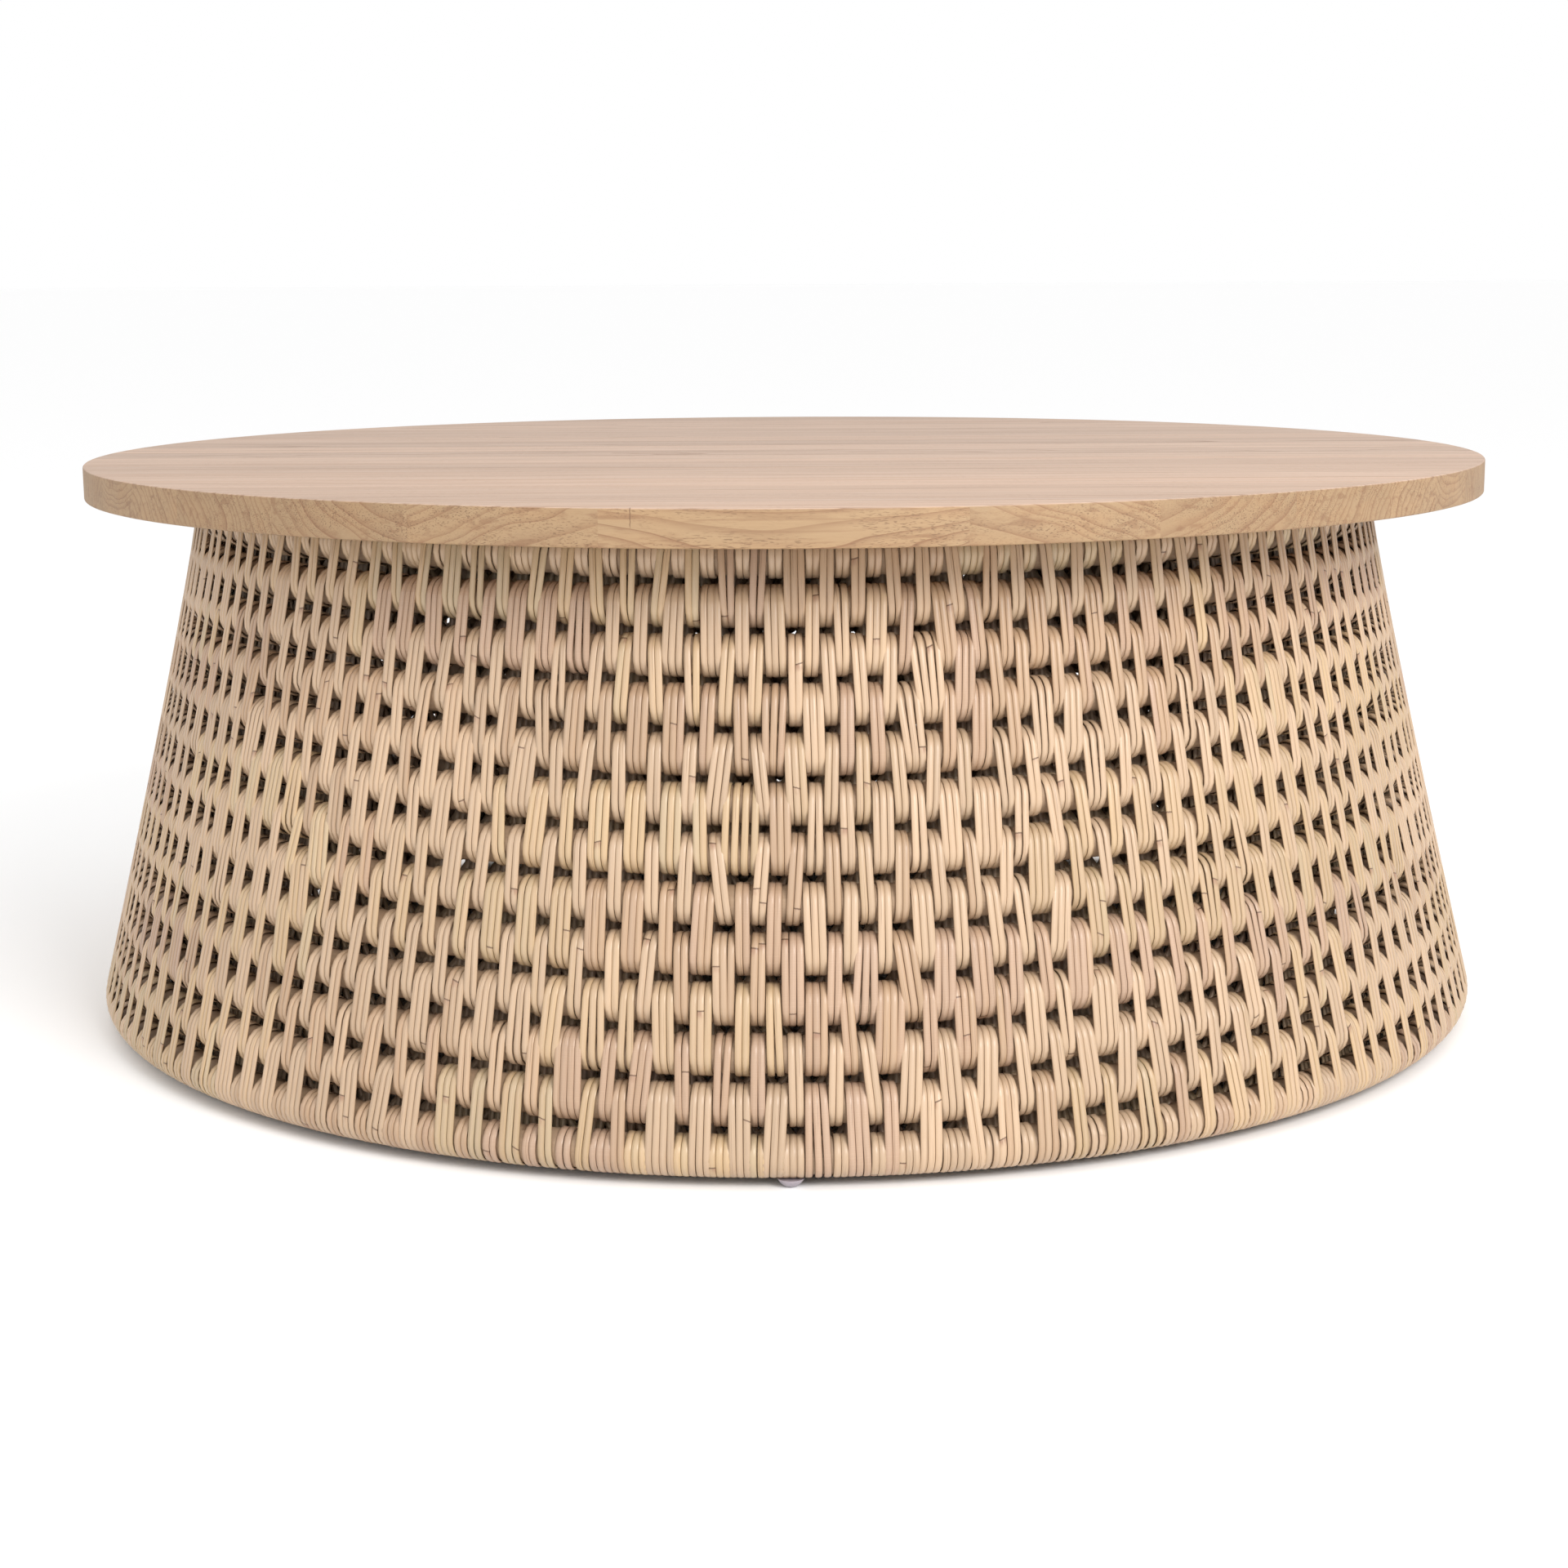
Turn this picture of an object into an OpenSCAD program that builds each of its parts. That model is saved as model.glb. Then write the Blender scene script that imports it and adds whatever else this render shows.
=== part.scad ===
// Round coffee table: a solid stave top on a flared drum of rattan hoops laced together with cane.
// The origin is on the floor under the middle of the table, and the top's boards run along X.

/* [Table] */
// Diameter of the wooden top
top_d = 1100; // [1000:10:1150]
// Height of the tabletop above the floor
table_h = 436; // [430:1:460]
// Turn of the base under the top, so that a foot stands a little off the front centre
base_turn = 0.24; // [-2:0.02:2]

/* [Top] */
// Thickness of the boards
top_t = 25; // [20:1:28]
// Easing of the top's upper and lower edges
edge_ease = 1.5; // [1:0.5:5]
// Thickness of the fixing ring and the battens under the boards
fixing_t = 18; // [15:1:20]
// Width of the fixing ring
ring_w = 60; // [50:1:70]
// Length of each batten across the boards
batten_len = 620; // [500:10:620]
// Width of each batten
batten_w = 40; // [30:1:60]
// Distance from the middle of the table to a batten's centre line
batten_x = 180; // [120:5:180]

/* [Base] */
// Outer diameter of the base over the cane, at the top hoop
base_top_d = 933; // [920:1:960]
// Outer diameter of the base over the cane, at the bottom hoop
base_bottom_d = 1107; // [1060:1:1120]
// Curve of the flare: 1 is straight, more is slower at the top
flare = 1.08; // [1:0.01:1.15]
// Number of hoops stacked down the wall
hoop_count = 13; // [12:1:13]
// Diameter of a bare rattan hoop
pole_d = 24.6; // [22:0.2:25]
// Diameter of the upright ribs inside the wall
rib_d = 22; // [18:1:24]
// Height of the ribs' lower ends above the floor
rib_foot = 12; // [8:1:20]

/* [Lacing] */
// Thickness of the cane that wraps the hoops
cane_t = 2.2; // [1.8:0.1:2.4]
// Number of lacing groups round the table in one row, a multiple of six
lacing_groups = 96; // [84:6:102]
// Space left between neighbouring groups at the inside of the wall
group_gap = 2.0; // [1.9:0.1:3]

/* [Feet and fasteners] */
// Height of a domed glide under the bottom hoop
glide_h = 6; // [4:0.5:8]
// Diameter of a domed glide
glide_d = 18; // [16:1:22]
// Diameter of the nails
nail_d = 1.8; // [1.4:0.1:1.8]
// Length of a frame nail
nail_len = 42; // [38:1:44]
// Diameter of a wood screw's shank
screw_d = 4; // [3:0.5:5]
// Length of a wood screw
screw_len = 32; // [28:1:34]

/* [Hidden] */
$fn = 48;
round_fn = 192;
// Widths of the glued boards from the front edge to the back, for a top 1100 across
board_widths = [12, 42, 59, 72, 55, 60, 70, 64, 72, 60, 68, 62, 70, 56, 64, 68, 72, 74];
board_count = len(board_widths);
rib_count = 6;
glide_count = 4;
ring_screw_count = 12;
batten_screw_y = [-285, -95, 95, 285];
// Clearance between a hoop and the cane that wraps it
cane_fit = 0.1;
// Step from a band's straight runs to its round ends, which keeps the outline clean
band_step = 0.01;
// Smallest clearance between a rib and the laced wall
rib_fit = 0.3;
nail_head_d = 3.6;
nail_head_t = 1;
nail_sink = 0.5;
nail_point = 2;
screw_head_d = 8;
screw_head_t = 2.4;
screw_point = 4;
ring_fit = 1;
glide_flat = 0.15;
glide_nail_len = 21;
glide_nail_sink = 3;
cutter = 2000;

top_underside = table_h - top_t;
fixing_z = top_underside - fixing_t;
wrap_r = pole_d / 2 + cane_t;
top_hoop_z = top_underside - wrap_r;
bottom_hoop_z = glide_h + wrap_r;
top_hoop_r = base_top_d / 2 - wrap_r;
bottom_hoop_r = base_bottom_d / 2 - wrap_r;
last_hoop = hoop_count - 1;
front_angle = -90 + base_turn;
half_pitch = 180 / lacing_groups;
wall_slope = atan2(bottom_hoop_r - top_hoop_r, top_hoop_z - bottom_hoop_z);
ring_outer_r = top_hoop_r - wrap_r - ring_fit;
ring_inner_r = ring_outer_r - ring_w;
ring_screw_r = (ring_outer_r + ring_inner_r) / 2;
glide_cap_h = glide_h + glide_flat;
glide_cap_r = (pow(glide_d / 2, 2) + pow(glide_cap_h, 2)) / (2 * glide_cap_h);

function hoop_z(i) = top_hoop_z + (bottom_hoop_z - top_hoop_z) * i / last_hoop;
function hoop_r(i) = top_hoop_r + (bottom_hoop_r - top_hoop_r) * pow(i / last_hoop, flare);
function hoop_at(i) = [hoop_r(i), hoop_z(i)];
function chord_r(z) = top_hoop_r + (top_hoop_z - z) * tan(wall_slope);
// How far the flared wall curves inside a straight line from the top hoop to the bottom one
wall_sag = max([for (i = [0:last_hoop]) chord_r(hoop_z(i)) - hoop_r(i)]);
rib_inset = (wrap_r + rib_d / 2 + rib_fit) / cos(wall_slope) + wall_sag;
function rib_r(z) = chord_r(z) - rib_inset;
function rib_angle(k) = front_angle + (k + 0.5) * 360 / rib_count;
function group_w(i) = (hoop_r(i) - wrap_r) * half_pitch * PI / 180 - group_gap;
function board_front(n) = n == 0 ? -top_d / 2 : board_front(n - 1) + board_widths[n - 1] * top_d / 1100;
function numbered(name, n) = str(name, n < 10 ? "_0" : "_", n);
function numbered_list(name, count) = [for (n = [1:count]) numbered(name, n)];

GLIDES = ["glide_front", "glide_right", "glide_back", "glide_left"];

// One wood screw with its head's flat at the origin and its point along +Z
module wood_screw() {
    rotate_extrude()
        polygon([
            [0, 0],
            [screw_head_d / 2, 0],
            [screw_d / 2, screw_head_t],
            [screw_d / 2, screw_len - screw_point],
            [0, screw_len]
        ]);
}

// One frame nail with its head's flat at the origin and its point along +Z
module frame_nail() {
    rotate_extrude()
        polygon([
            [0, 0],
            [nail_head_d / 2, 0],
            [nail_head_d / 2, nail_head_t],
            [nail_d / 2, nail_head_t],
            [nail_d / 2, nail_len - nail_point],
            [0, nail_len]
        ]);
}

// Screws up through the fixing ring and the battens into the boards
module top_screws() {
    for (k = [0:ring_screw_count - 1])
        rotate([0, 0, front_angle + (k + 0.5) * 360 / ring_screw_count])
            translate([ring_screw_r, 0, fixing_z])
                wood_screw();
    for (side = [-1, 1], y = batten_screw_y)
        translate([side * batten_x, y, fixing_z])
            wood_screw();
}

// Screws down through the fixing ring into the ends of the ribs
module rib_screws() {
    for (k = [0:rib_count - 1])
        rotate([0, 0, rib_angle(k)])
            translate([rib_r(fixing_z), 0, top_underside])
                mirror([0, 0, 1])
                    wood_screw();
}

// Nail from outside through one hoop into one rib
module hoop_nail(i, k) {
    rotate([0, 0, rib_angle(k)])
        translate([hoop_r(i) + pole_d / 2 - nail_sink, 0, hoop_z(i)])
            rotate([0, -90, 0])
                frame_nail();
}

// Disc of the whole top with its edges eased
module top_disc() {
    translate([0, 0, top_underside])
        rotate_extrude($fn = round_fn)
            polygon([
                [0, 0],
                [top_d / 2 - edge_ease, 0],
                [top_d / 2, edge_ease],
                [top_d / 2, top_t - edge_ease],
                [top_d / 2 - edge_ease, top_t],
                [0, top_t]
            ]);
}

// One glued board of the top, the first at the front
module top_board(n) {
    color("burlywood")
        difference() {
            intersection() {
                top_disc();
                translate([-cutter / 2, board_front(n - 1), top_underside - 1])
                    cube([cutter, board_widths[n - 1] * top_d / 1100, top_t + 2]);
            }
            top_screws();
        }
}

// One rattan hoop, the first under the top; its nails are driven into it without a drilled hole
module hoop(n) {
    i = n - 1;
    color("tan")
        translate([0, 0, hoop_z(i)])
            rotate_extrude($fn = round_fn)
                translate([hoop_r(i), 0])
                    circle(d = pole_d);
}

// Outline of a band that runs round two hoops, at radius r from each hoop's centre
module band_outline(a, b, r) {
    side = [a.y - b.y, b.x - a.x] * (r - band_step) / norm(b - a);
    slope = atan2(b.y - a.y, b.x - a.x);
    translate(a)
        rotate(slope)
            circle(r);
    translate(b)
        rotate(slope + 180)
            circle(r);
    polygon([a + side, b + side, b - side, a - side]);
}

// Repeats one flat outline round the table, on every second place, as cane groups of one width
module cane_groups(first, width) {
    for (k = [0:lacing_groups - 1])
        rotate([0, 0, front_angle + (2 * k + first + 0.5) * half_pitch])
            rotate([90, 0, 0])
                linear_extrude(height = width, center = true)
                    children();
}

// Row of cane groups that lace a hoop to the next one down
module lacing(n) {
    i = n - 1;
    color("wheat")
        cane_groups(i % 2, group_w(i))
            difference() {
                band_outline(hoop_at(i), hoop_at(i + 1), wrap_r);
                band_outline(hoop_at(i), hoop_at(i + 1), pole_d / 2 + cane_fit);
            }
}

// Cane groups round one hoop alone, in the places that its lacing leaves free
module rim_wrap(i, first) {
    color("wheat")
        cane_groups(first, group_w(i))
            translate(hoop_at(i))
                difference() {
                    circle(wrap_r);
                    circle(pole_d / 2 + cane_fit);
                }
}

// One upright rib inside the wall, from near the floor to the fixing ring
module rib(n) {
    slant_len = (fixing_z - rib_foot) / cos(wall_slope);
    color("peru")
        difference() {
            rotate([0, 0, rib_angle(n - 1)])
                intersection() {
                    translate([rib_r(rib_foot), 0, rib_foot])
                        rotate([0, -wall_slope, 0])
                            translate([0, 0, -rib_d])
                                cylinder(h = slant_len + 2 * rib_d, d = rib_d);
                    translate([0, -cutter / 2, rib_foot])
                        cube([cutter, cutter, fixing_z - rib_foot]);
                }
            for (i = [0:last_hoop])
                hoop_nail(i, n - 1);
            rib_screws();
        }
}

// Flat ring inside the top hoop that carries the top
module top_ring() {
    color("sandybrown")
        difference() {
            translate([0, 0, fixing_z])
                rotate_extrude($fn = round_fn)
                    translate([ring_inner_r, 0])
                        square([ring_w, fixing_t]);
            top_screws();
            rib_screws();
        }
}

// One batten across the boards, to the left or the right of the middle
module batten(side) {
    color("sandybrown")
        difference() {
            translate([side * batten_x - batten_w / 2, -batten_len / 2, fixing_z])
                cube([batten_w, batten_len, fixing_t]);
            top_screws();
        }
}

// One domed glide and its nail, under the bottom hoop
module glide(k) {
    color("thistle")
        rotate([0, 0, front_angle + k * 360 / glide_count])
            translate([bottom_hoop_r, 0, 0]) {
                difference() {
                    rotate_extrude()
                        intersection() {
                            translate([0, glide_cap_r - glide_flat])
                                circle(glide_cap_r);
                            square([glide_d / 2, glide_h]);
                        }
                    translate([0, 0, glide_nail_sink])
                        cylinder(h = glide_nail_len, d = nail_d);
                }
                translate([0, 0, glide_nail_sink])
                    cylinder(h = glide_nail_len, d = nail_d);
            }
}

module wood_screws() {
    color("silver") {
        top_screws();
        rib_screws();
    }
}

module frame_nails() {
    color("silver")
        for (i = [0:last_hoop], k = [0:rib_count - 1])
            hoop_nail(i, k);
}

for (n = [1:board_count])
    top_board(n);
for (n = [1:hoop_count])
    hoop(n);
for (n = [1:hoop_count - 1])
    lacing(n);
rim_wrap(0, 1);  // top_rim_wrap
rim_wrap(last_hoop, last_hoop % 2);  // bottom_rim_wrap
for (n = [1:rib_count])
    rib(n);
top_ring();
batten(-1);  // batten_left
batten(1);  // batten_right
for (k = [0:glide_count - 1])
    glide(k);
wood_screws();
frame_nails();
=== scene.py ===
"""Looks of the round wicker coffee table: a glued stave top on a drum of rattan hoops laced with cane."""
import math
import random

import bpy
import numpy as np
from mathutils import Matrix, Vector


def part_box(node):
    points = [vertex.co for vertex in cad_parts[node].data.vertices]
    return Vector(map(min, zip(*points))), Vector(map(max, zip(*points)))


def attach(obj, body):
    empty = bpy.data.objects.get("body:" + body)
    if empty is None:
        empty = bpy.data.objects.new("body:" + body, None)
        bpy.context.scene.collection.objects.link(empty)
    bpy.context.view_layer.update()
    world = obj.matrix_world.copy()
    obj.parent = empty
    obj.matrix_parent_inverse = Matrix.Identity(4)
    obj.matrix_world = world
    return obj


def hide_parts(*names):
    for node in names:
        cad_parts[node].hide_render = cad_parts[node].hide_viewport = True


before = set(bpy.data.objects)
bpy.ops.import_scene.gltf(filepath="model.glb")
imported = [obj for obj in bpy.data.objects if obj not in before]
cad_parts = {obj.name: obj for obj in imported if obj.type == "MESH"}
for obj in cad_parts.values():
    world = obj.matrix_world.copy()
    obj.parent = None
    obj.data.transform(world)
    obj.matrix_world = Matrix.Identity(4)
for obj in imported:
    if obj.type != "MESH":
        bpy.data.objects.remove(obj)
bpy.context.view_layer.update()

# ---------------------------------------------------------------- sizes, in metres, from the frame
STAVES = 18
HOOPS = 13
RIBS = 6
# Lacing groups in one turn of the wall, and the place of the first one, straight in front
GROUPS = 137
FRONT_ANGLE = math.radians(-90)
HALF_GROUP = math.pi / GROUPS

# Cane strand: usual width and thickness
CANE_WIDTH = 0.0047
CANE_THICK = 0.00215

SEED = 137


def numbered(name, number):
    return f"{name}_{number:02d}"


def hoop_sizes(number):
    """Radius of a hoop's centre line, its height above the floor and the pole's radius."""
    low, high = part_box(numbered("hoop", number))
    pole = (high[2] - low[2]) / 2
    return (high[0] - low[0]) / 2 - pole, (high[2] + low[2]) / 2, pole


HOOP = [hoop_sizes(number) for number in range(1, HOOPS + 1)]
POLE = HOOP[0][2]

# ---------------------------------------------------------------- shader maths


class Wire:
    """A value at a node's socket; arithmetic on it adds Math nodes to the same finish."""

    def __init__(self, finish, socket):
        self.finish = finish
        self.socket = socket

    def __add__(self, other):
        return self.finish.maths("ADD", self, other)

    __radd__ = __add__

    def __sub__(self, other):
        return self.finish.maths("SUBTRACT", self, other)

    def __rsub__(self, other):
        return self.finish.maths("SUBTRACT", other, self)

    def __mul__(self, other):
        return self.finish.maths("MULTIPLY", self, other)

    __rmul__ = __mul__

    def __truediv__(self, other):
        return self.finish.maths("DIVIDE", self, other)


class Finish:
    """A material under construction: nodes are added one at a time and wired by value."""

    def __init__(self, name, **constants):
        self.material = bpy.data.materials.new(name)
        self.material.use_nodes = True
        self.tree = self.material.node_tree
        self.shader = self.tree.nodes["Principled BSDF"]
        for socket, value in constants.items():
            self.shader.inputs[socket.replace("_", " ")].default_value = value

    def feed(self, socket, value):
        if isinstance(value, Wire):
            self.tree.links.new(value.socket, socket)
        else:
            socket.default_value = value

    def node(self, kind, sockets=None, output=0, stops=None, **settings):
        """Any node: its settings and ramp stops first, then the values or wires of its sockets."""
        made = self.tree.nodes.new("ShaderNode" + kind)
        for name, value in settings.items():
            setattr(made, name, value)
        if stops:
            ramp = made.color_ramp.elements
            ramp[0].position, ramp[0].color = stops[0]
            ramp[1].position, ramp[1].color = stops[-1]
            for place, colour in stops[1:-1]:
                ramp.new(place).color = colour
        for key, value in (sockets or {}).items():
            self.feed(made.inputs[key], value)
        return Wire(self, made.outputs[output])

    def maths(self, operation, first, second=0.0):
        return self.node("Math", {0: first, 1: second}, operation=operation)

    def blend(self, factor, first, second, how="MIX"):
        return self.node("Mix", {0: factor, 6: first, 7: second}, 2, data_type="RGBA", blend_type=how)

    def noise(self, place, scale=1.0, detail=2.0, roughness=0.5):
        sockets = {
            "Vector": place,
            "Scale": scale,
            "Detail": detail,
            "Roughness": roughness,
        }
        return self.node("TexNoise", sockets)

    def line_noise(self, value, detail=2.0):
        """Noise along a single value."""
        return self.node("TexNoise", {"W": value, "Scale": 1.0, "Detail": detail}, noise_dimensions="1D")

    def ease(self, value, low, high):
        """Rises smoothly from 0 to 1 as the value goes from low to high."""
        sockets = {0: value, 1: low, 2: high, 3: 0.0, 4: 1.0}
        return self.node("MapRange", sockets, interpolation_type="SMOOTHSTEP")

    def parts(self, vector):
        first = self.node("SeparateXYZ", {0: vector})
        return [Wire(self, socket) for socket in first.socket.node.outputs]

    def vector(self, x, y, z):
        return self.node("CombineXYZ", {0: x, 1: y, 2: z})

    def place(self):
        """Object coordinates, which are the table's own metres."""
        return self.node("TexCoord", output=3)

    def bump(self, height, distance, strength=1.0):
        return self.node("Bump", {"Height": height, "Distance": distance, "Strength": strength})

    def finished(self, colour=None, roughness=None, normal=None):
        for name, value in (("Base Color", colour), ("Roughness", roughness), ("Normal", normal)):
            if value is not None:
                self.feed(self.shader.inputs[name], value)
        return self.material


def tone(red, green, blue):
    return (red, green, blue, 1.0)


def shaded(colour, factor):
    return tone(*[part * factor for part in colour[:3]])


# ---------------------------------------------------------------- finishes

STAVE_FACE = tone(0.534, 0.389, 0.299)
STAVE_EDGE = tone(0.342, 0.229, 0.128)
STAVE_LINE = tone(0.230, 0.128, 0.070)
STAVE_PORE = tone(0.13, 0.070, 0.040)
WARM_TINT = tone(1.04, 0.95, 0.88)
# Usual distance between growth rings, and the place, depth and fade of the crack in the front edge
RING_GAP = 0.0050
CRACK_X = -0.094
CRACK_DEPTH = 0.0135
CRACK_FADE = 0.0035


def stave_finish(number, top_z, middle_y, chance):
    """Pale straight-grained wood with growth rings round a pith that runs along the stave."""
    finish = Finish(numbered("stave_wood", number), Specular_IOR_Level=0.3)
    x, y, z = finish.parts(finish.place())
    start = chance.uniform(0, 40)
    # The grain wanders slowly along the stave
    wander = finish.noise(finish.vector(x * 2.6 + start, y * 6.0, z * 6.0), 1.0, 3.0) - 0.5
    pith_y = middle_y + chance.choice((-1, 1)) * chance.uniform(0.0, 0.075)
    pith_z = top_z + chance.choice((-1, -1, 1)) * chance.uniform(0.02, 0.09)
    across = y - pith_y + wander * 0.05
    up = z - pith_z + wander * 0.02
    warp = finish.noise(finish.vector(x * 7.0, y * 45.0 + start, z * 45.0), 1.0, 2.0) - 0.5
    radius = finish.maths("SQRT", across * across + up * up) + warp * 0.006
    ring_gap = RING_GAP * chance.uniform(0.8, 1.3)
    ring_age = radius / ring_gap + finish.line_noise(radius * 60.0 + start, 1.0) * 2.4
    growth = finish.maths("FRACT", ring_age)
    late_wood = finish.ease(growth, 0.45, 0.94) * (1.0 - finish.ease(growth, 0.94, 1.0))
    ring_line = finish.ease(growth, 0.84, 0.95) * (1.0 - finish.ease(growth, 0.95, 1.0))
    ring_depth = finish.noise(finish.vector(x * 5.0 + start, radius * 90.0, start), 1.0, 1.0)
    fibre = finish.noise(finish.vector(x * 7.0 + start, y * 800.0, z * 800.0), 1.0, 3.0, 0.65)
    streak = finish.noise(finish.vector(x * 2.6 + start, y * 150.0, z * 150.0), 1.0, 2.0, 0.5)
    thread = finish.noise(finish.vector(x * 1.7, y * 330.0 + start, z * 330.0), 1.0, 2.0, 0.5)
    band = finish.noise(finish.vector(x * 0.8 + start, y * 60.0, z * 60.0), 1.0, 2.0)
    pores = finish.noise(finish.vector(x * 180.0 + start, y * 1500.0, z * 1500.0), 1.0, 1.0)
    speckle = finish.noise(finish.vector(x * 14.0, y * 40.0 + start, z * 60.0), 1.0, 1.0)
    pore_mask = finish.ease(pores, 0.54, 0.68) * finish.ease(speckle, 0.30, 0.62)
    dark_streak = finish.ease(streak, 0.57, 0.70)
    dark_thread = finish.ease(thread, 0.52, 0.72)
    on_face = finish.ease(z, top_z - 0.0009, top_z - 0.0002)
    lift = 1.0 + chance.uniform(-0.09, 0.08)
    colour = finish.blend(on_face, shaded(STAVE_EDGE, lift), shaded(STAVE_FACE, lift))
    colour = finish.blend(late_wood * (0.48 - on_face * 0.30), colour, STAVE_LINE)
    ring_line = ring_line * finish.ease(ring_depth, 0.25, 0.7)
    colour = finish.blend(ring_line * (0.95 - on_face * 0.38), colour, STAVE_LINE)
    colour = finish.blend(dark_streak * (0.62 - on_face * 0.30), colour, STAVE_LINE)
    colour = finish.blend(dark_thread * (0.40 - on_face * 0.06), colour, STAVE_LINE)
    colour = finish.blend((fibre - 0.3) * 0.36, colour, STAVE_LINE)
    colour = finish.blend(pore_mask * (0.60 - on_face * 0.38), colour, STAVE_PORE)
    warmer = finish.blend(1.0, colour, WARM_TINT, "MULTIPLY")
    colour = finish.blend(finish.ease(band, 0.35, 0.75) * 0.5, colour, warmer)
    if number == 1:
        colour = finish.blend(drying_crack(finish, x, z, top_z) * 0.8, colour, STAVE_PORE)
    height = fibre * 0.35 - pore_mask * 0.6 - dark_streak * 0.2 - ring_line * 0.15
    roughness = 0.46 + fibre * 0.2
    return finish.finished(colour, roughness, finish.bump(height, 0.00022, 0.6))


def drying_crack(finish, x, z, top_z):
    """A short upright check in the front edge, left of the middle."""
    from_crack = finish.maths("ABSOLUTE", x - CRACK_X + finish.line_noise(z * 300.0, 2.0) * 0.0006)
    lowest = top_z - CRACK_DEPTH
    return (1.0 - finish.ease(from_crack, 0.0001, 0.0005)) * finish.ease(z, lowest, lowest + CRACK_FADE)


CANE_CREAM = tone(0.535, 0.376, 0.240)
CANE_PINK = tone(0.490, 0.335, 0.228)
CANE_STRAW = tone(0.520, 0.360, 0.196)
CANE_TAN = tone(0.440, 0.284, 0.166)
CANE_LEAF = tone(0.498, 0.374, 0.224)
# Pale pink painted highlight, laid along the crown of each strand
CANE_CROWN_HIGHLIGHT = tone(0.590, 0.435, 0.320)
# Painted shade for the grooves between neighbouring strands
CANE_GROOVE_SHADE = tone(0.264, 0.152, 0.083)
CANE_SPLIT = tone(0.192, 0.101, 0.056)
CANE_NODE = tone(0.100, 0.045, 0.020)
CANE_SCAR = tone(0.288, 0.148, 0.090)
# A strand whose mark is above these shows a leaf node, or a ribbed, unscraped skin
NODE_FROM = 0.85
RIBBED_FROM = 0.88


def cane_finish():
    """Cane skin: a tone for each strand, fine lengthwise lines, leaf nodes and a soft gloss, with a
    painted highlight along each strand's crown and painted shade at its edges.
    """
    finish = Finish("cane_skin", Specular_IOR_Level=0.5, Coat_Roughness=0.2, Coat_Weight=0.28)
    across, along, _ = finish.parts(finish.node("UVMap", uv_map="strand_map"))
    shade, hue, start = finish.parts(finish.node("Attribute", attribute_name="strand_mark"))
    stops = [
        (0.0, CANE_LEAF),
        (0.08, CANE_STRAW),
        (0.32, CANE_CREAM),
        (0.66, CANE_CREAM),
        (0.82, CANE_TAN),
        (1.0, CANE_PINK),
    ]
    colour = finish.node("ValToRGB", {0: hue}, stops=stops)
    bright = 0.79 + shade * 0.26
    colour = finish.blend(1.0, colour, finish.vector(bright, bright, bright), "MULTIPLY")
    offset = start * 50.0
    from_middle = finish.maths("ABSOLUTE", across - 0.5)
    crown = 1.0 - finish.ease(from_middle, 0.06, 0.36)
    side = finish.ease(from_middle, 0.42, 0.50)
    lines = finish.noise(finish.vector(across * 13.0 + offset, along * 16.0, offset), 1.0, 3.0, 0.6)
    stripe = finish.noise(finish.vector(across * 3.0 + offset, along * 9.0, 3.5), 1.0, 2.0)
    blotch = finish.noise(finish.vector(across * 1.2 + offset, along * 60.0, offset), 1.0, 3.0)
    split = finish.noise(finish.vector(across * 8.0 + offset, along * 14.0, 0.5), 1.0, 1.0)
    split = finish.ease(split, 0.68, 0.74)
    # A leaf node is a thin slanting ring with a rough scar under it, found on some strands only
    has_node = finish.ease(start, NODE_FROM, NODE_FROM + 0.001)
    ragged = (lines - 0.5) * 0.0008 + (across - 0.5) * (shade - 0.5) * 0.005
    from_node = along + ragged - (0.035 + (start - NODE_FROM) * 0.55)
    node_ring = (1.0 - finish.ease(finish.maths("ABSOLUTE", from_node), 0.00015, 0.0007)) * has_node
    scar = finish.ease(from_node, 0.0, 0.0006) * (1.0 - finish.ease(from_node, 0.001, 0.006)) * has_node
    scar = scar * finish.ease(blotch, 0.40, 0.60)
    ribs = finish.line_noise(along * 1500.0 + across * 0.4)
    ribbed = ribs * finish.ease(hue, RIBBED_FROM, RIBBED_FROM + 0.02)
    # Painted highlight: a paler, streaky band along the crown of each strand
    colour = finish.blend(crown * stripe * 0.40, colour, CANE_CROWN_HIGHLIGHT)
    colour = finish.blend((lines - 0.35) * 0.40, colour, CANE_SPLIT)
    colour = finish.blend(finish.ease(blotch, 0.50, 0.80) * 0.35, colour, CANE_TAN)
    # Painted shade: the strand's two edges are darkened as if lying in the grooves between strands
    colour = finish.blend(side * 0.22, colour, CANE_GROOVE_SHADE)
    colour = finish.blend(ribbed * 0.30, colour, CANE_SCAR)
    colour = finish.blend(split * 0.50, colour, CANE_SPLIT)
    colour = finish.blend(scar * 0.70, colour, CANE_SCAR)
    colour = finish.blend(node_ring * 0.85, colour, CANE_NODE)
    height = lines * 0.5 - split * 0.5 + scar * 0.9 * blotch - node_ring * 0.8 + ribbed * 0.4
    roughness = 0.34 + lines * 0.16 + blotch * 0.10
    return finish.finished(colour, roughness, finish.bump(height, 0.00025, 0.7))


POLE_PALE = tone(0.40, 0.27, 0.17)
POLE_DARK = tone(0.27, 0.17, 0.10)
POLE_WARM = tone(0.43, 0.31, 0.22)
POLE_RING = tone(0.16, 0.09, 0.05)
# Height from one hoop to the next, and the distance between leaf scars along a pole
HOOP_STEP = 0.0313
SCAR_STEP = 0.23


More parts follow.
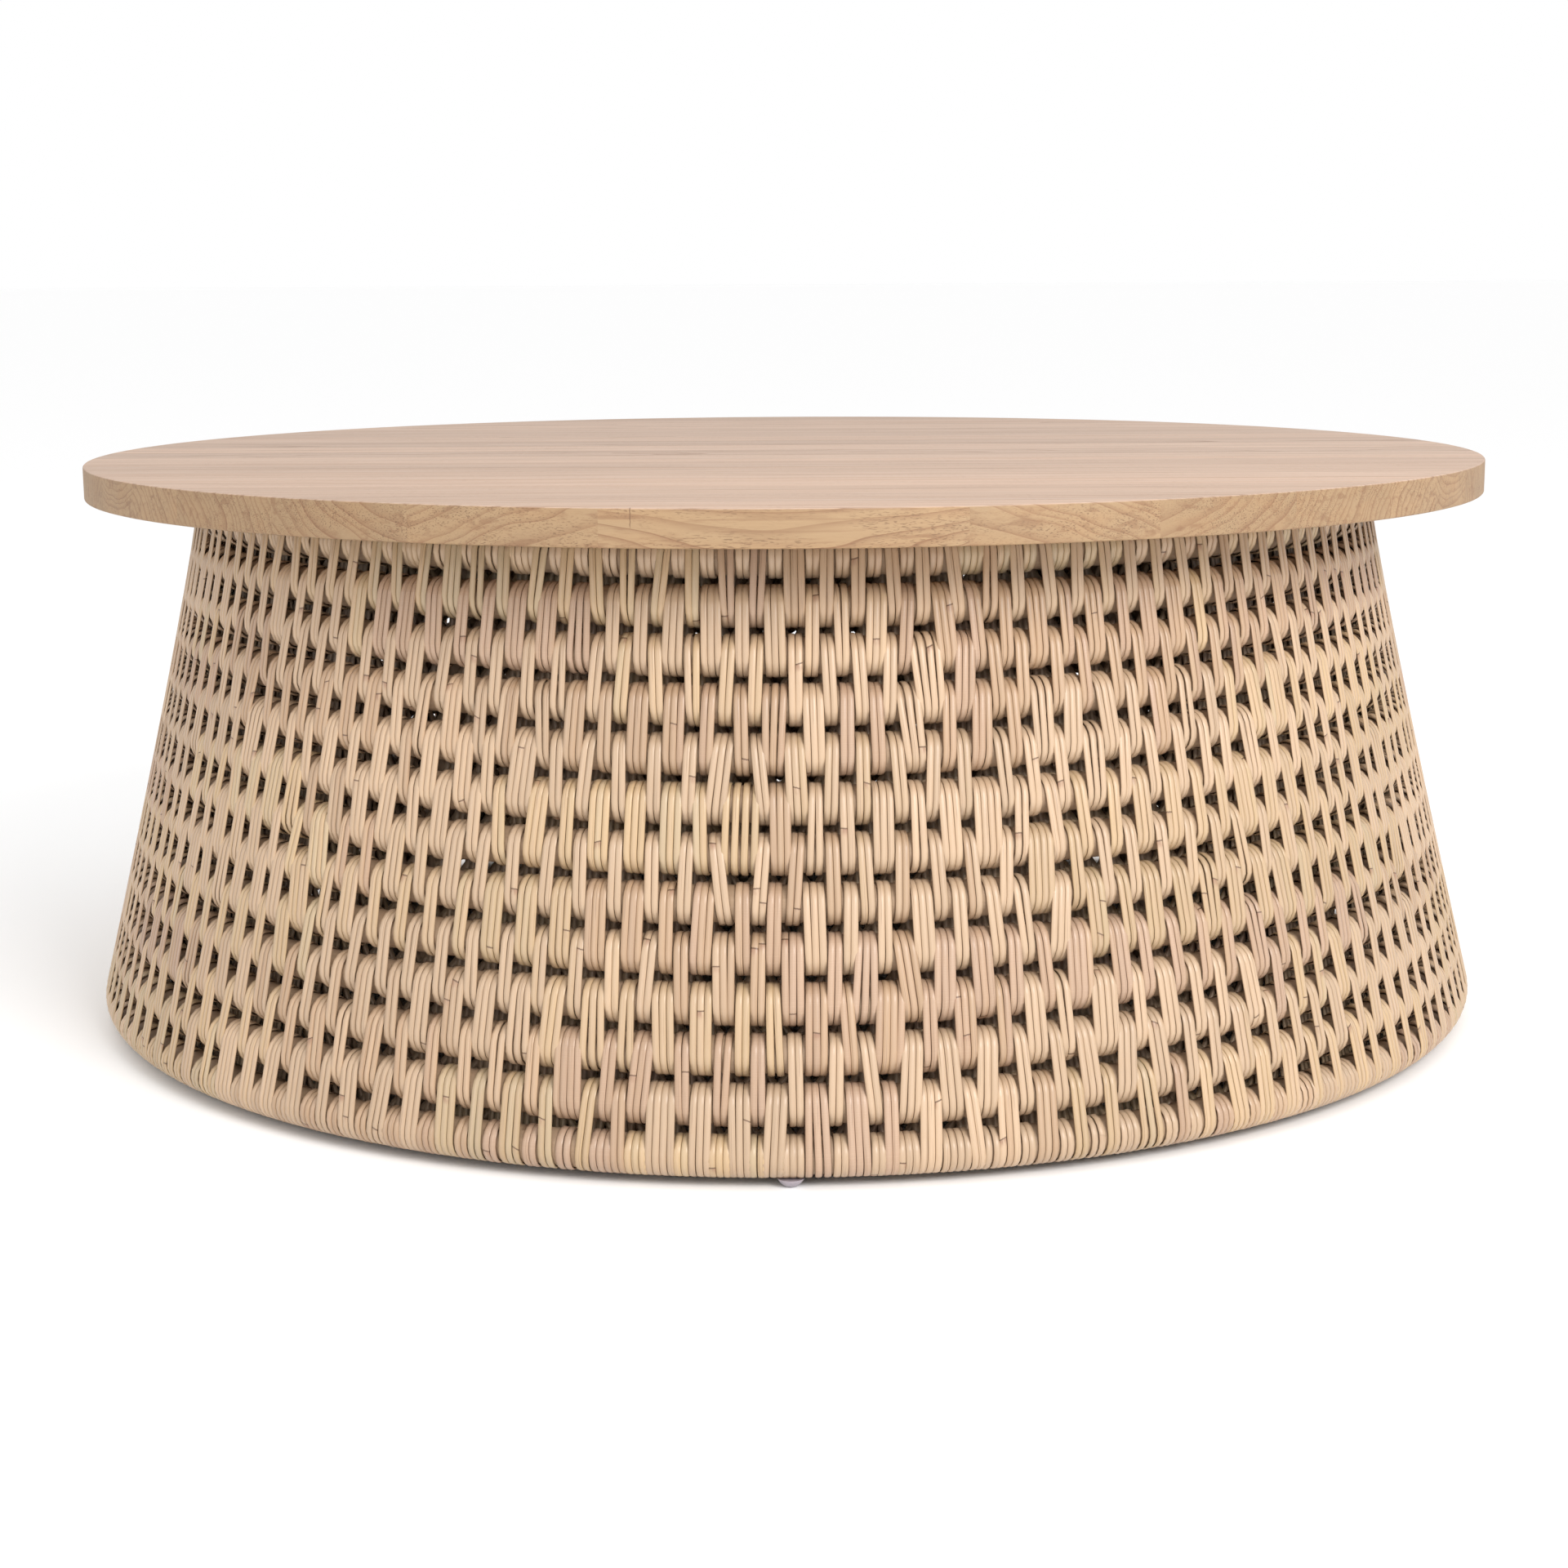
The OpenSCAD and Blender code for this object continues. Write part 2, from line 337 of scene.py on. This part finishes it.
def pole_finish(name, upright):
    """Peeled rattan pole with lengthwise fibres; hoops run round the table, ribs stand up."""
    finish = Finish(name, Specular_IOR_Level=0.35)
    x, y, z = finish.parts(finish.place())
    if upright:
        fibres = finish.vector(x * 700.0, y * 700.0, z * 14.0)
        clouds = finish.vector(x * 30.0, y * 30.0, z * 9.0)
        run = z
    else:
        turn = finish.maths("ARCTAN2", y, x)
        out = finish.maths("SQRT", x * x + y * y)
        fibres = finish.vector(turn * 7.0, out * 700.0, z * 700.0)
        clouds = finish.vector(turn * 5.0, out * 30.0, z * 30.0)
        run = turn * 0.5 + finish.maths("FLOOR", z / HOOP_STEP) * 0.37
    fibre = finish.noise(fibres, 1.0, 3.0, 0.6)
    cloud = finish.noise(clouds, 1.0, 3.0)
    step = finish.maths("FRACT", run / SCAR_STEP)
    ring = 1.0 - finish.ease(finish.maths("ABSOLUTE", step - 0.5), 0.002, 0.008)
    colour = finish.blend(fibre * 0.7, POLE_PALE, POLE_DARK)
    colour = finish.blend(finish.ease(cloud, 0.4, 0.75) * 0.5, colour, POLE_WARM)
    colour = finish.blend(ring * 0.6, colour, POLE_RING)
    height = fibre * 0.6 + ring * 0.8
    return finish.finished(colour, 0.5 + fibre * 0.2, finish.bump(height, 0.0004, 0.7))


VENEER_PALE = tone(0.62, 0.45, 0.28)
VENEER_WARM = tone(0.66, 0.50, 0.34)
PLY_DARK = tone(0.44, 0.29, 0.17)
PLY_GRAIN = tone(0.36, 0.22, 0.12)
# Thickness of one ply
PLY = 0.0015


def plywood_finish(name, low_z):
    """Plywood: pale veneer on the faces and thin alternating plies on the edges."""
    finish = Finish(name, Specular_IOR_Level=0.3)
    x, y, z = finish.parts(finish.place())
    plies = finish.maths("FRACT", (z - low_z) / (2 * PLY))
    dark_ply = finish.ease(plies, 0.46, 0.54)
    grain = finish.noise(finish.vector(x * 6.0, y * 260.0, z * 400.0), 1.0, 3.0, 0.6)
    cloud = finish.noise(finish.vector(x * 4.0, y * 18.0, z * 4.0), 1.0, 2.0)
    colour = finish.blend(dark_ply, VENEER_PALE, PLY_DARK)
    colour = finish.blend(grain * 0.35, colour, PLY_GRAIN)
    colour = finish.blend(cloud * 0.3, colour, VENEER_WARM)
    return finish.finished(colour, 0.6 + grain * 0.2, finish.bump(grain, 0.0003, 0.5))


GLIDE_DARK = tone(0.27, 0.235, 0.27)
GLIDE_PALE = tone(0.40, 0.35, 0.385)
GLIDE_WORN = tone(0.52, 0.48, 0.50)


def glide_finish():
    """Grey-lilac moulded plastic, a little cloudy, scuffed where it meets the floor."""
    finish = Finish("glide_plastic", Specular_IOR_Level=0.5, Coat_Weight=0.1)
    x, y, z = finish.parts(finish.place())
    cloud = finish.noise(finish.vector(x * 220.0, y * 220.0, z * 220.0), 1.0, 3.0)
    scratch = finish.noise(finish.vector(x * 2400.0, y * 300.0, z * 900.0), 1.0, 2.0)
    worn = 1.0 - finish.ease(z, 0.0002, 0.0022)
    colour = finish.blend(cloud, GLIDE_DARK, GLIDE_PALE)
    colour = finish.blend(worn * scratch, colour, GLIDE_WORN)
    roughness = 0.30 + worn * 0.25 + scratch * 0.08
    return finish.finished(colour, roughness, finish.bump(scratch, 0.0001, 0.4))


ZINC_BRIGHT = tone(0.60, 0.60, 0.58)
ZINC_DULL = tone(0.42, 0.42, 0.40)


def zinc_finish():
    """Bright zinc plate with fine drawn lines and dull patches."""
    finish = Finish("zinc_plate", Metallic=1.0)
    x, y, z = finish.parts(finish.place())
    drawn = finish.noise(finish.vector(x * 1800.0, y * 1800.0, z * 1800.0), 1.0, 2.0)
    patch = finish.noise(finish.vector(x * 260.0, y * 260.0, z * 260.0), 1.0, 2.0)
    colour = finish.blend(patch, ZINC_BRIGHT, ZINC_DULL)
    return finish.finished(colour, 0.25 + patch * 0.3, finish.bump(drawn, 0.00005, 0.5))


# ---------------------------------------------------------------- modelling helpers


def deselect_all():
    bpy.ops.object.select_all(action="DESELECT")
    bpy.context.view_layer.objects.active = None


def make_active(thing):
    deselect_all()
    thing.select_set(True)
    bpy.context.view_layer.objects.active = thing


def start_edit(thing, mode="VERT"):
    make_active(thing)
    bpy.ops.object.mode_set(mode="EDIT")
    bpy.ops.mesh.select_mode(type=mode)


def end_edit():
    bpy.ops.object.mode_set(mode="OBJECT")


def settle(thing):
    """Moves an object's place into its mesh, so that the object itself is at the origin."""
    make_active(thing)
    bpy.ops.object.transform_apply(location=True, rotation=True, scale=True)


def dress(piece, finish):
    piece.data.materials.clear()
    piece.data.materials.append(finish)
    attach(piece, "root")


# ---------------------------------------------------------------- the top

RIM_EASE = 0.0013
STAVE_JOINT = 0.00003
BLANK_SIDES = 360
SMOOTH_ANGLE = math.radians(32)


def round_blank(radius, low_z, high_z):
    """The whole top before it is cut into staves: a disc with eased edges."""
    bpy.ops.mesh.primitive_cylinder_add(
        vertices=BLANK_SIDES, radius=radius, depth=high_z - low_z, location=(0, 0, (low_z + high_z) / 2)
    )
    blank = bpy.context.object
    settle(blank)
    start_edit(blank, "EDGE")
    bpy.ops.mesh.select_all(action="DESELECT")
    end_edit()
    heights = [vertex.co.z for vertex in blank.data.vertices]
    for edge in blank.data.edges:
        first, second = edge.vertices
        edge.select = abs(heights[first] - heights[second]) < RIM_EASE
    start_edit(blank, "EDGE")
    bpy.ops.mesh.bevel(offset=RIM_EASE, segments=3, profile=0.5)
    end_edit()
    return blank


def cut_stave(blank, number):
    """One stave: a copy of the blank, cut off in front of and behind the stave's joints."""
    low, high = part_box(numbered("top_board", number))
    stave = blank.copy()
    stave.data = blank.data.copy()
    stave.name = numbered("stave", number)
    bpy.context.collection.objects.link(stave)
    cuts = []
    if number > 1:
        cuts.append((low[1] + STAVE_JOINT, True))
    if number < STAVES:
        cuts.append((high[1] - STAVE_JOINT, False))
    for joint_y, keep_back in cuts:
        start_edit(stave)
        bpy.ops.mesh.select_all(action="SELECT")
        bpy.ops.mesh.bisect(
            plane_co=(0, joint_y, 0),
            plane_no=(0, 1, 0),
            use_fill=True,
            clear_inner=keep_back,
            clear_outer=not keep_back,
        )
        end_edit()
    make_active(stave)
    bpy.ops.object.shade_smooth_by_angle(angle=SMOOTH_ANGLE)
    return stave


def build_top(chance):
    low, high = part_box("top_board_10")
    radius = (high[0] - low[0]) / 2
    blank = round_blank(radius, low[2], high[2])
    for number in range(1, STAVES + 1):
        stave = cut_stave(blank, number)
        stave_low, stave_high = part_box(numbered("top_board", number))
        middle_y = (stave_low[1] + stave_high[1]) / 2
        dress(stave, stave_finish(number, high[2], middle_y, chance))
        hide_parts(numbered("top_board", number))
    bpy.data.objects.remove(blank)


# ---------------------------------------------------------------- the cane lacing


class Turn:
    """The path of one turn of cane in the plane through the table's axis, round one or two hoops."""

    def __init__(self, upper, lower):
        self.upper = Vector((upper[0], 0, upper[1]))
        self.lower = Vector((lower[0], 0, lower[1]))
        span = self.lower - self.upper
        self.span = span.length
        self.down = span.normalized() if self.span else Vector((0, 0, -1))
        self.out = Vector((-self.down.z, 0, self.down.x))
        self.length = 2 * self.span + 2 * math.pi * POLE

    def distance_along(self, point):
        """How far along the turn a point lies, counted from the middle of its inner run."""
        rest = point - self.upper
        along = rest.dot(self.down)
        outward = rest.dot(self.out)
        if along > self.span:
            walked = self.span + POLE * (math.pi / 2 - math.atan2(outward, along - self.span))
        elif along < 0:
            walked = self.length - POLE * (math.pi / 2 - math.atan2(outward, -along))
        elif outward > 0:
            walked = along
        else:
            walked = self.span + math.pi * POLE + self.span - along
        middle_of_inner_run = 1.5 * self.span + math.pi * POLE
        return (walked - middle_of_inner_run) % self.length


# Half-round section of the cane: share of the width across, and share of the thickness out
CANE_SECTION = [(0.5, 0.52), (0.40, 0.88), (0.0, 1.0), (-0.40, 0.88), (-0.5, 0.52)]
OUTER_STEPS = 4
INNER_STEPS = 2
QUARTER = math.pi / 2
# Points nearer than this are welded, and heights nearer than this count as one
WELD = 0.00002
LEVEL = 1e-5


def cane_section(at, out):
    """The cane's cross-section as a ring of edges, standing out from a point on a pole's skin."""
    bpy.ops.mesh.primitive_circle_add(vertices=len(CANE_SECTION), radius=CANE_WIDTH, location=(0, 0, 0))
    section = bpy.context.object
    for vertex, (across, height) in zip(section.data.vertices, CANE_SECTION):
        vertex.co = at + out * (height * CANE_THICK) + Vector((0, across * CANE_WIDTH, 0))
    return section


def wind_round(centre, steps, angle):
    """Carries the selected section over a hoop, from the outside of the wall to the inside."""
    bpy.ops.mesh.spin(steps=steps, angle=angle, center=centre, axis=(0, 1, 0))


def run_straight(move, pieces=1):
    for _ in range(pieces):
        bpy.ops.mesh.extrude_edges_move(TRANSFORM_OT_translate={"value": move / pieces})


def cane_turn(turn):
    """One closed turn of cane, modelled by winding its section round the hoops."""
    piece = cane_section(turn.upper + turn.out * POLE, turn.out)
    start_edit(piece, "EDGE")
    bpy.ops.mesh.select_all(action="SELECT")
    wind_round(turn.upper, OUTER_STEPS, QUARTER)
    wind_round(turn.upper, INNER_STEPS, QUARTER)
    if turn.span:
        run_straight(turn.lower - turn.upper)
    wind_round(turn.lower, INNER_STEPS, QUARTER)
    wind_round(turn.lower, OUTER_STEPS, QUARTER)
    if turn.span:
        run_straight(turn.upper - turn.lower)
    bpy.ops.mesh.select_all(action="SELECT")
    bpy.ops.mesh.remove_doubles(threshold=WELD)
    bpy.ops.mesh.normals_make_consistent(inside=False)
    end_edit()
    bpy.ops.object.shade_smooth()
    map_strand(piece, turn)
    return piece


# How far a crossing stretch of cane bends round each hoop at its ends, and its width in strands
TUCK = math.radians(64)
CROSSING_WIDTH = 1.35


def cane_crossing(turn, slant):
    """The inner stretch that carries the cane on to its next group, with both ends tucked in."""
    back_off = POLE + CANE_THICK
    inward = -turn.out
    reach = turn.span / math.cos(slant) / 2
    top = (turn.upper + turn.lower) / 2 - turn.down * reach
    bottom = (turn.upper + turn.lower) / 2 + turn.down * reach
    piece = cane_section(top + inward * back_off, inward)
    start_edit(piece, "EDGE")
    bpy.ops.mesh.select_all(action="SELECT")
    bpy.ops.mesh.spin(steps=1, angle=-TUCK, center=top, axis=(0, 1, 0))
    bpy.ops.mesh.edge_face_add()
    bpy.ops.mesh.select_all(action="DESELECT")
    end_edit()
    for edge in piece.data.edges:
        edge.select = all(
            abs((piece.data.vertices[index].co - top).dot(turn.down)) < LEVEL for index in edge.vertices
        )
    start_edit(piece, "EDGE")
    run_straight(bottom - top, 2)
    bpy.ops.mesh.spin(steps=1, angle=TUCK, center=bottom, axis=(0, 1, 0))
    bpy.ops.mesh.edge_face_add()
    bpy.ops.mesh.select_all(action="SELECT")
    bpy.ops.mesh.remove_doubles(threshold=WELD)
    bpy.ops.mesh.normals_make_consistent(inside=False)
    end_edit()
    bpy.ops.object.shade_smooth()
    map_strand(piece, turn)
    return piece


def map_strand(piece, turn):
    """Lays the strand out flat: across it from 0 to 1, and along it in metres."""
    mesh = piece.data
    for layer in list(mesh.uv_layers):
        mesh.uv_layers.remove(layer)
    layer = mesh.uv_layers.new(name="strand_map")
    walked = [turn.distance_along(vertex.co) for vertex in mesh.vertices]
    for face in mesh.polygons:
        spots = [walked[mesh.loops[loop].vertex_index] for loop in face.loop_indices]
        crosses_start = max(spots) - min(spots) > turn.length / 2
        for loop, spot in zip(face.loop_indices, spots):
            across = mesh.vertices[mesh.loops[loop].vertex_index].co.y / CANE_WIDTH + 0.5
            if crosses_start and spot < turn.length / 2:
                spot += turn.length
            layer.data[loop].uv = (across, spot)


# Chance of three or more strands in a group, and of four, in the even and in the odd rows
THREE_STRANDS = (0.06, 0.35)
FOUR_STRANDS = (0.01, 0.05)
# How much the lowest row gains in wide groups, and how much of that its four-strand groups give up
LOWER_GAIN = 0.35
FOUR_HOLD = 0.30
# Slack between strands as a share of the group's width: usual, loose, and how often loose
TIGHT = (-0.03, 0.02)
LOOSE = (0.2, 0.4)
LOOSE_SHARE = 0.05
# How often a group starts on a new length of cane
NEW_CANE = 0.22


class Group:
    """One lacing group: its strands, the slack between them at each hoop, and their shared tone."""

    def __init__(self, row, tone_values, chance):
        lower_down = max(row, 0) / (HOOPS - 1)
        three = THREE_STRANDS[row % 2]
        four = FOUR_STRANDS[row % 2] - FOUR_HOLD * lower_down
        draw = chance.random() - LOWER_GAIN * lower_down
        self.strands = 4 if draw < four else 3 if draw < three else 2
        self.splay = {side: self.slack(chance) for side in ("upper", "lower")}
        self.tone_values = tone_values
        self.angle = {}

    @staticmethod
    def slack(chance):
        """Share of the group's width that is added between its strands."""
        if chance.random() < LOOSE_SHARE:
            return chance.uniform(*LOOSE)
        return chance.uniform(*TIGHT)

    def width(self, side):
        return self.strands * CANE_WIDTH * (1 + self.splay[side])


def cut_groups(row, chance):
    """All the groups of one row; one length of cane makes a few groups, so they share its tone."""
    groups = []
    tone_values = (chance.random(), chance.random())
    for _ in range(GROUPS):
        if chance.random() < NEW_CANE:
            tone_values = (chance.random(), chance.random())
        groups.append(Group(row, tone_values, chance))
    return groups


# Places over which the crowding of the strands on a hoop evens out
EVENING = 7
# A place where the pole shows between two groups, and how often there is one
BARE_GAP = 0.0018
BARE_SHARE = 0.12


def pack_round(above, below, hoop, chance):
    """Lays the ends of two rows' groups side by side round their hoop, and gives a strand's width."""
    order = []
    for place in range(2 * GROUPS):
        on_below = place % 2 == hoop % 2
        order.append(((below if on_below else above)[place // 2], "upper" if on_below else "lower"))
    gaps = [BARE_GAP if chance.random() < BARE_SHARE else 0.0 for _ in order]
    widths = np.array([group.width(side) + gap for (group, side), gap in zip(order, gaps)])
    middles = (np.cumsum(widths) - widths / 2) / widths.sum() * len(order)
    drift = middles - np.arange(len(order)) - 0.5
    window = np.arange(-(EVENING // 2), EVENING // 2 + 1)
    around = (np.arange(len(order))[:, None] + window) % len(order)
    drift -= drift[around].mean(axis=1)
    for place, (group, side) in enumerate(order):
        group.angle[side] = FRONT_ANGLE + (place + 0.5 + drift[place]) * HALF_GROUP
    radius = HOOP[hoop][0] + POLE + CANE_THICK
    return 2 * math.pi * radius / (widths.sum() / CANE_WIDTH)


# Share of a strand's shade that its group sets, and the spread of hues in a group
SHARED_SHADE = 0.6
HUE_SPREAD = 0.05


def strand_copy(master, placement, tone_values, chance):
    """A copy of a master stretch with its own mesh, put in place, and its own tone."""
    mesh = master.data.copy()
    mesh.transform(placement)
    mark = mesh.attributes.new("strand_mark", "FLOAT_COLOR", "POINT")
    shade = min(max(tone_values[0] * SHARED_SHADE + chance.random() * (1 - SHARED_SHADE), 0), 1)
    hue = min(max(tone_values[1] + chance.gauss(0, HUE_SPREAD), 0), 1)
    mark.data.foreach_set("color", (shade, hue, chance.random(), 1.0) * len(mesh.vertices))
    strand = bpy.data.objects.new("strand", mesh)
    bpy.context.collection.objects.link(strand)
    return strand


def placed(turn, angle, tilt, stretch):
    """Turns a stretch of cane about its own middle, fits its width and carries it round the wall."""
    middle = (turn.upper + turn.lower) / 2
    return (
        Matrix.Rotation(angle, 4, "Z")
        @ Matrix.Translation(middle)
        @ Matrix.Rotation(tilt, 4, turn.out)
        @ Matrix.Scale(stretch, 4, Vector((0, 1, 0)))
        @ Matrix.Translation(-middle)
    )


# Spread of a strand's own lean, and the ranges of its width and of a crossing's lean
LEAN_SPREAD = 0.005
WIDTH_RANGE = (1.0, 1.06)
CROSSING_LEAN = (0.92, 1.04)


def lace_group(master, turn, group, width, chance):
    """One group of neighbouring strands, side by side, each from its own place on each hoop."""
    made = []
    radius = (turn.upper.x + turn.lower.x) / 2 + POLE + CANE_THICK
    for index in range(group.strands):
        from_middle = (index - (group.strands - 1) / 2) * width / radius
        ends = [group.angle[side] + from_middle * (1 + group.splay[side]) for side in ("upper", "lower")]
        tilt = chance.gauss(0, LEAN_SPREAD)
        if turn.span:
            tilt -= math.asin((ends[0] - ends[1]) * radius / (turn.span + 2 * POLE))
        stretch = width / CANE_WIDTH * chance.uniform(*WIDTH_RANGE)
        placement = placed(turn, sum(ends) / 2, tilt, stretch)
        made.append(strand_copy(master, placement, group.tone_values, chance))
    return made


def joined(strands, name):
    deselect_all()
    for strand in strands:
        strand.select_set(True)
    bpy.context.view_layer.objects.active = strands[0]
    bpy.ops.object.join()
    piece = bpy.context.object
    piece.name = name
    return piece


def lace_row(name, upper, lower, groups, width, chance):
    """All the groups of one row as one piece, with the crossings that link them inside."""
    turn = Turn(upper, lower)
    master = cane_turn(turn)
    strands = []
    for group in groups:
        strands += lace_group(master, turn, group, width, chance)
    bpy.data.objects.remove(master)
    if turn.span:
        pitch = 2 * HALF_GROUP * (turn.upper.x + turn.lower.x) / 2
        slant = math.atan2(pitch, turn.span)
        crossing = cane_crossing(turn, slant)
        for group in groups:
            angle = (group.angle["upper"] + group.angle["lower"]) / 2
            # A crossing runs inside the wall and takes its group's hue at the darkest tones: painted
            # shade for the inside of the wall, seen through the gaps
            tone_values = (0.0, group.tone_values[1])
            for side in (1, -1):
                lean = side * slant * chance.uniform(*CROSSING_LEAN)
                place = placed(turn, angle + side * HALF_GROUP / 2, lean, CROSSING_WIDTH)
                strands.append(strand_copy(crossing, place, tone_values, chance))
        bpy.data.objects.remove(crossing)
    return joined(strands, name)


def build_lacing(chance):
    cane = cane_finish()
    # Rows from the top rim wrap, which is on the first hoop alone, to the bottom rim wrap
    rows = [cut_groups(row, chance) for row in range(-1, HOOPS)]
    widths = [pack_round(rows[hoop], rows[hoop + 1], hoop, chance) for hoop in range(HOOPS)]
    for group in rows[0]:
        group.angle["upper"] = group.angle["lower"]
    for group in rows[-1]:
        group.angle["lower"] = group.angle["upper"]
    for row in range(-1, HOOPS):
        first, last = max(row, 0), min(row + 1, HOOPS - 1)
        width = (widths[first] + widths[last]) / 2
        title, node = numbered("cane_row", row + 1), numbered("lacing", row + 1)
        if row == -1:
            title, node = "cane_top_rim", "top_rim_wrap"
        elif row == HOOPS - 1:
            title, node = "cane_bottom_rim", "bottom_rim_wrap"
        piece = lace_row(title, HOOP[first], HOOP[last], rows[row + 1], width, chance)
        dress(piece, cane)
        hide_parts(node)


# ---------------------------------------------------------------- the parts that keep their CAD shape


def keep(node, finish):
    """A CAD node that stays as it is, with a better finish."""
    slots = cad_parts[node].material_slots
    for slot in slots:
        slot.material = finish


def finish_frame():
    hoop_wood = pole_finish("hoop_pole", upright=False)
    rib_wood = pole_finish("rib_pole", upright=True)
    ring_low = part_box("top_ring")[0][2]
    plywood = plywood_finish("birch_plywood", ring_low)
    for number in range(1, HOOPS + 1):
        keep(numbered("hoop", number), hoop_wood)
    for number in range(1, RIBS + 1):
        keep(numbered("rib", number), rib_wood)
    for node in ("top_ring", "batten_left", "batten_right"):
        keep(node, plywood)
    plastic = glide_finish()
    for node in ("glide_front", "glide_right", "glide_back", "glide_left"):
        keep(node, plastic)
    zinc = zinc_finish()
    for node in ("wood_screws", "frame_nails"):
        keep(node, zinc)


# ---------------------------------------------------------------- floor, light and camera


FLOOR_SIZE = 400
FLOOR_TONE = 0.985
# Each softbox: its name, place, size and power in watts
SOFTBOXES = [
    ("key_right", (1.6, -2.8, 2.0), (1.6, 1.3), 85),
    ("fill_left", (-2.2, -2.6, 1.5), (0.6, 1.4), 14),
]
LIT_POINT = (0, 0, 0.2)
CAMERA_PLACE = (0.001, -2.2055, 0.5749)
CAMERA_TILT = math.radians(79.40)
CAMERA_ROLL = math.radians(0.32)
CAMERA_LENS = 62.25
CAMERA_SENSOR = 36


def stage():
    bpy.ops.mesh.primitive_plane_add(size=FLOOR_SIZE, location=(0, 0, 0))
    floor = bpy.context.object
    floor.name = "floor"
    pale = Finish("pale_floor", Roughness=0.9, Specular_IOR_Level=0.1)
    pale.shader.inputs["Base Color"].default_value = tone(FLOOR_TONE, FLOOR_TONE, FLOOR_TONE)
    floor.data.materials.append(pale.material)
    world = bpy.data.worlds.new("studio")
    world.use_nodes = True
    background = world.node_tree.nodes["Background"]
    background.inputs["Color"].default_value = tone(1, 1, 1)
    background.inputs["Strength"].default_value = 1.0
    bpy.context.scene.world = world


def softbox(name, place, size, power):
    lamp = bpy.data.lights.new(name, "AREA")
    lamp.shape = "RECTANGLE"
    lamp.size, lamp.size_y = size
    lamp.energy = power
    box = bpy.data.objects.new(name, lamp)
    box.location = place
    box.rotation_euler = (Vector(LIT_POINT) - Vector(place)).to_track_quat("-Z", "Y").to_euler()
    bpy.context.collection.objects.link(box)


def light_and_camera():
    for name, place, size, power in SOFTBOXES:
        softbox(name, place, size, power)
    data = bpy.data.cameras.new("camera")
    data.lens = CAMERA_LENS
    data.sensor_width = CAMERA_SENSOR
    camera = bpy.data.objects.new("camera", data)
    camera.location = CAMERA_PLACE
    camera.rotation_euler = (CAMERA_TILT, CAMERA_ROLL, 0)
    bpy.context.collection.objects.link(camera)
    bpy.context.scene.camera = camera
    bpy.context.scene.view_settings.view_transform = "Standard"


chance = random.Random(SEED)
light_and_camera()
stage()
finish_frame()
build_top(chance)
build_lacing(chance)
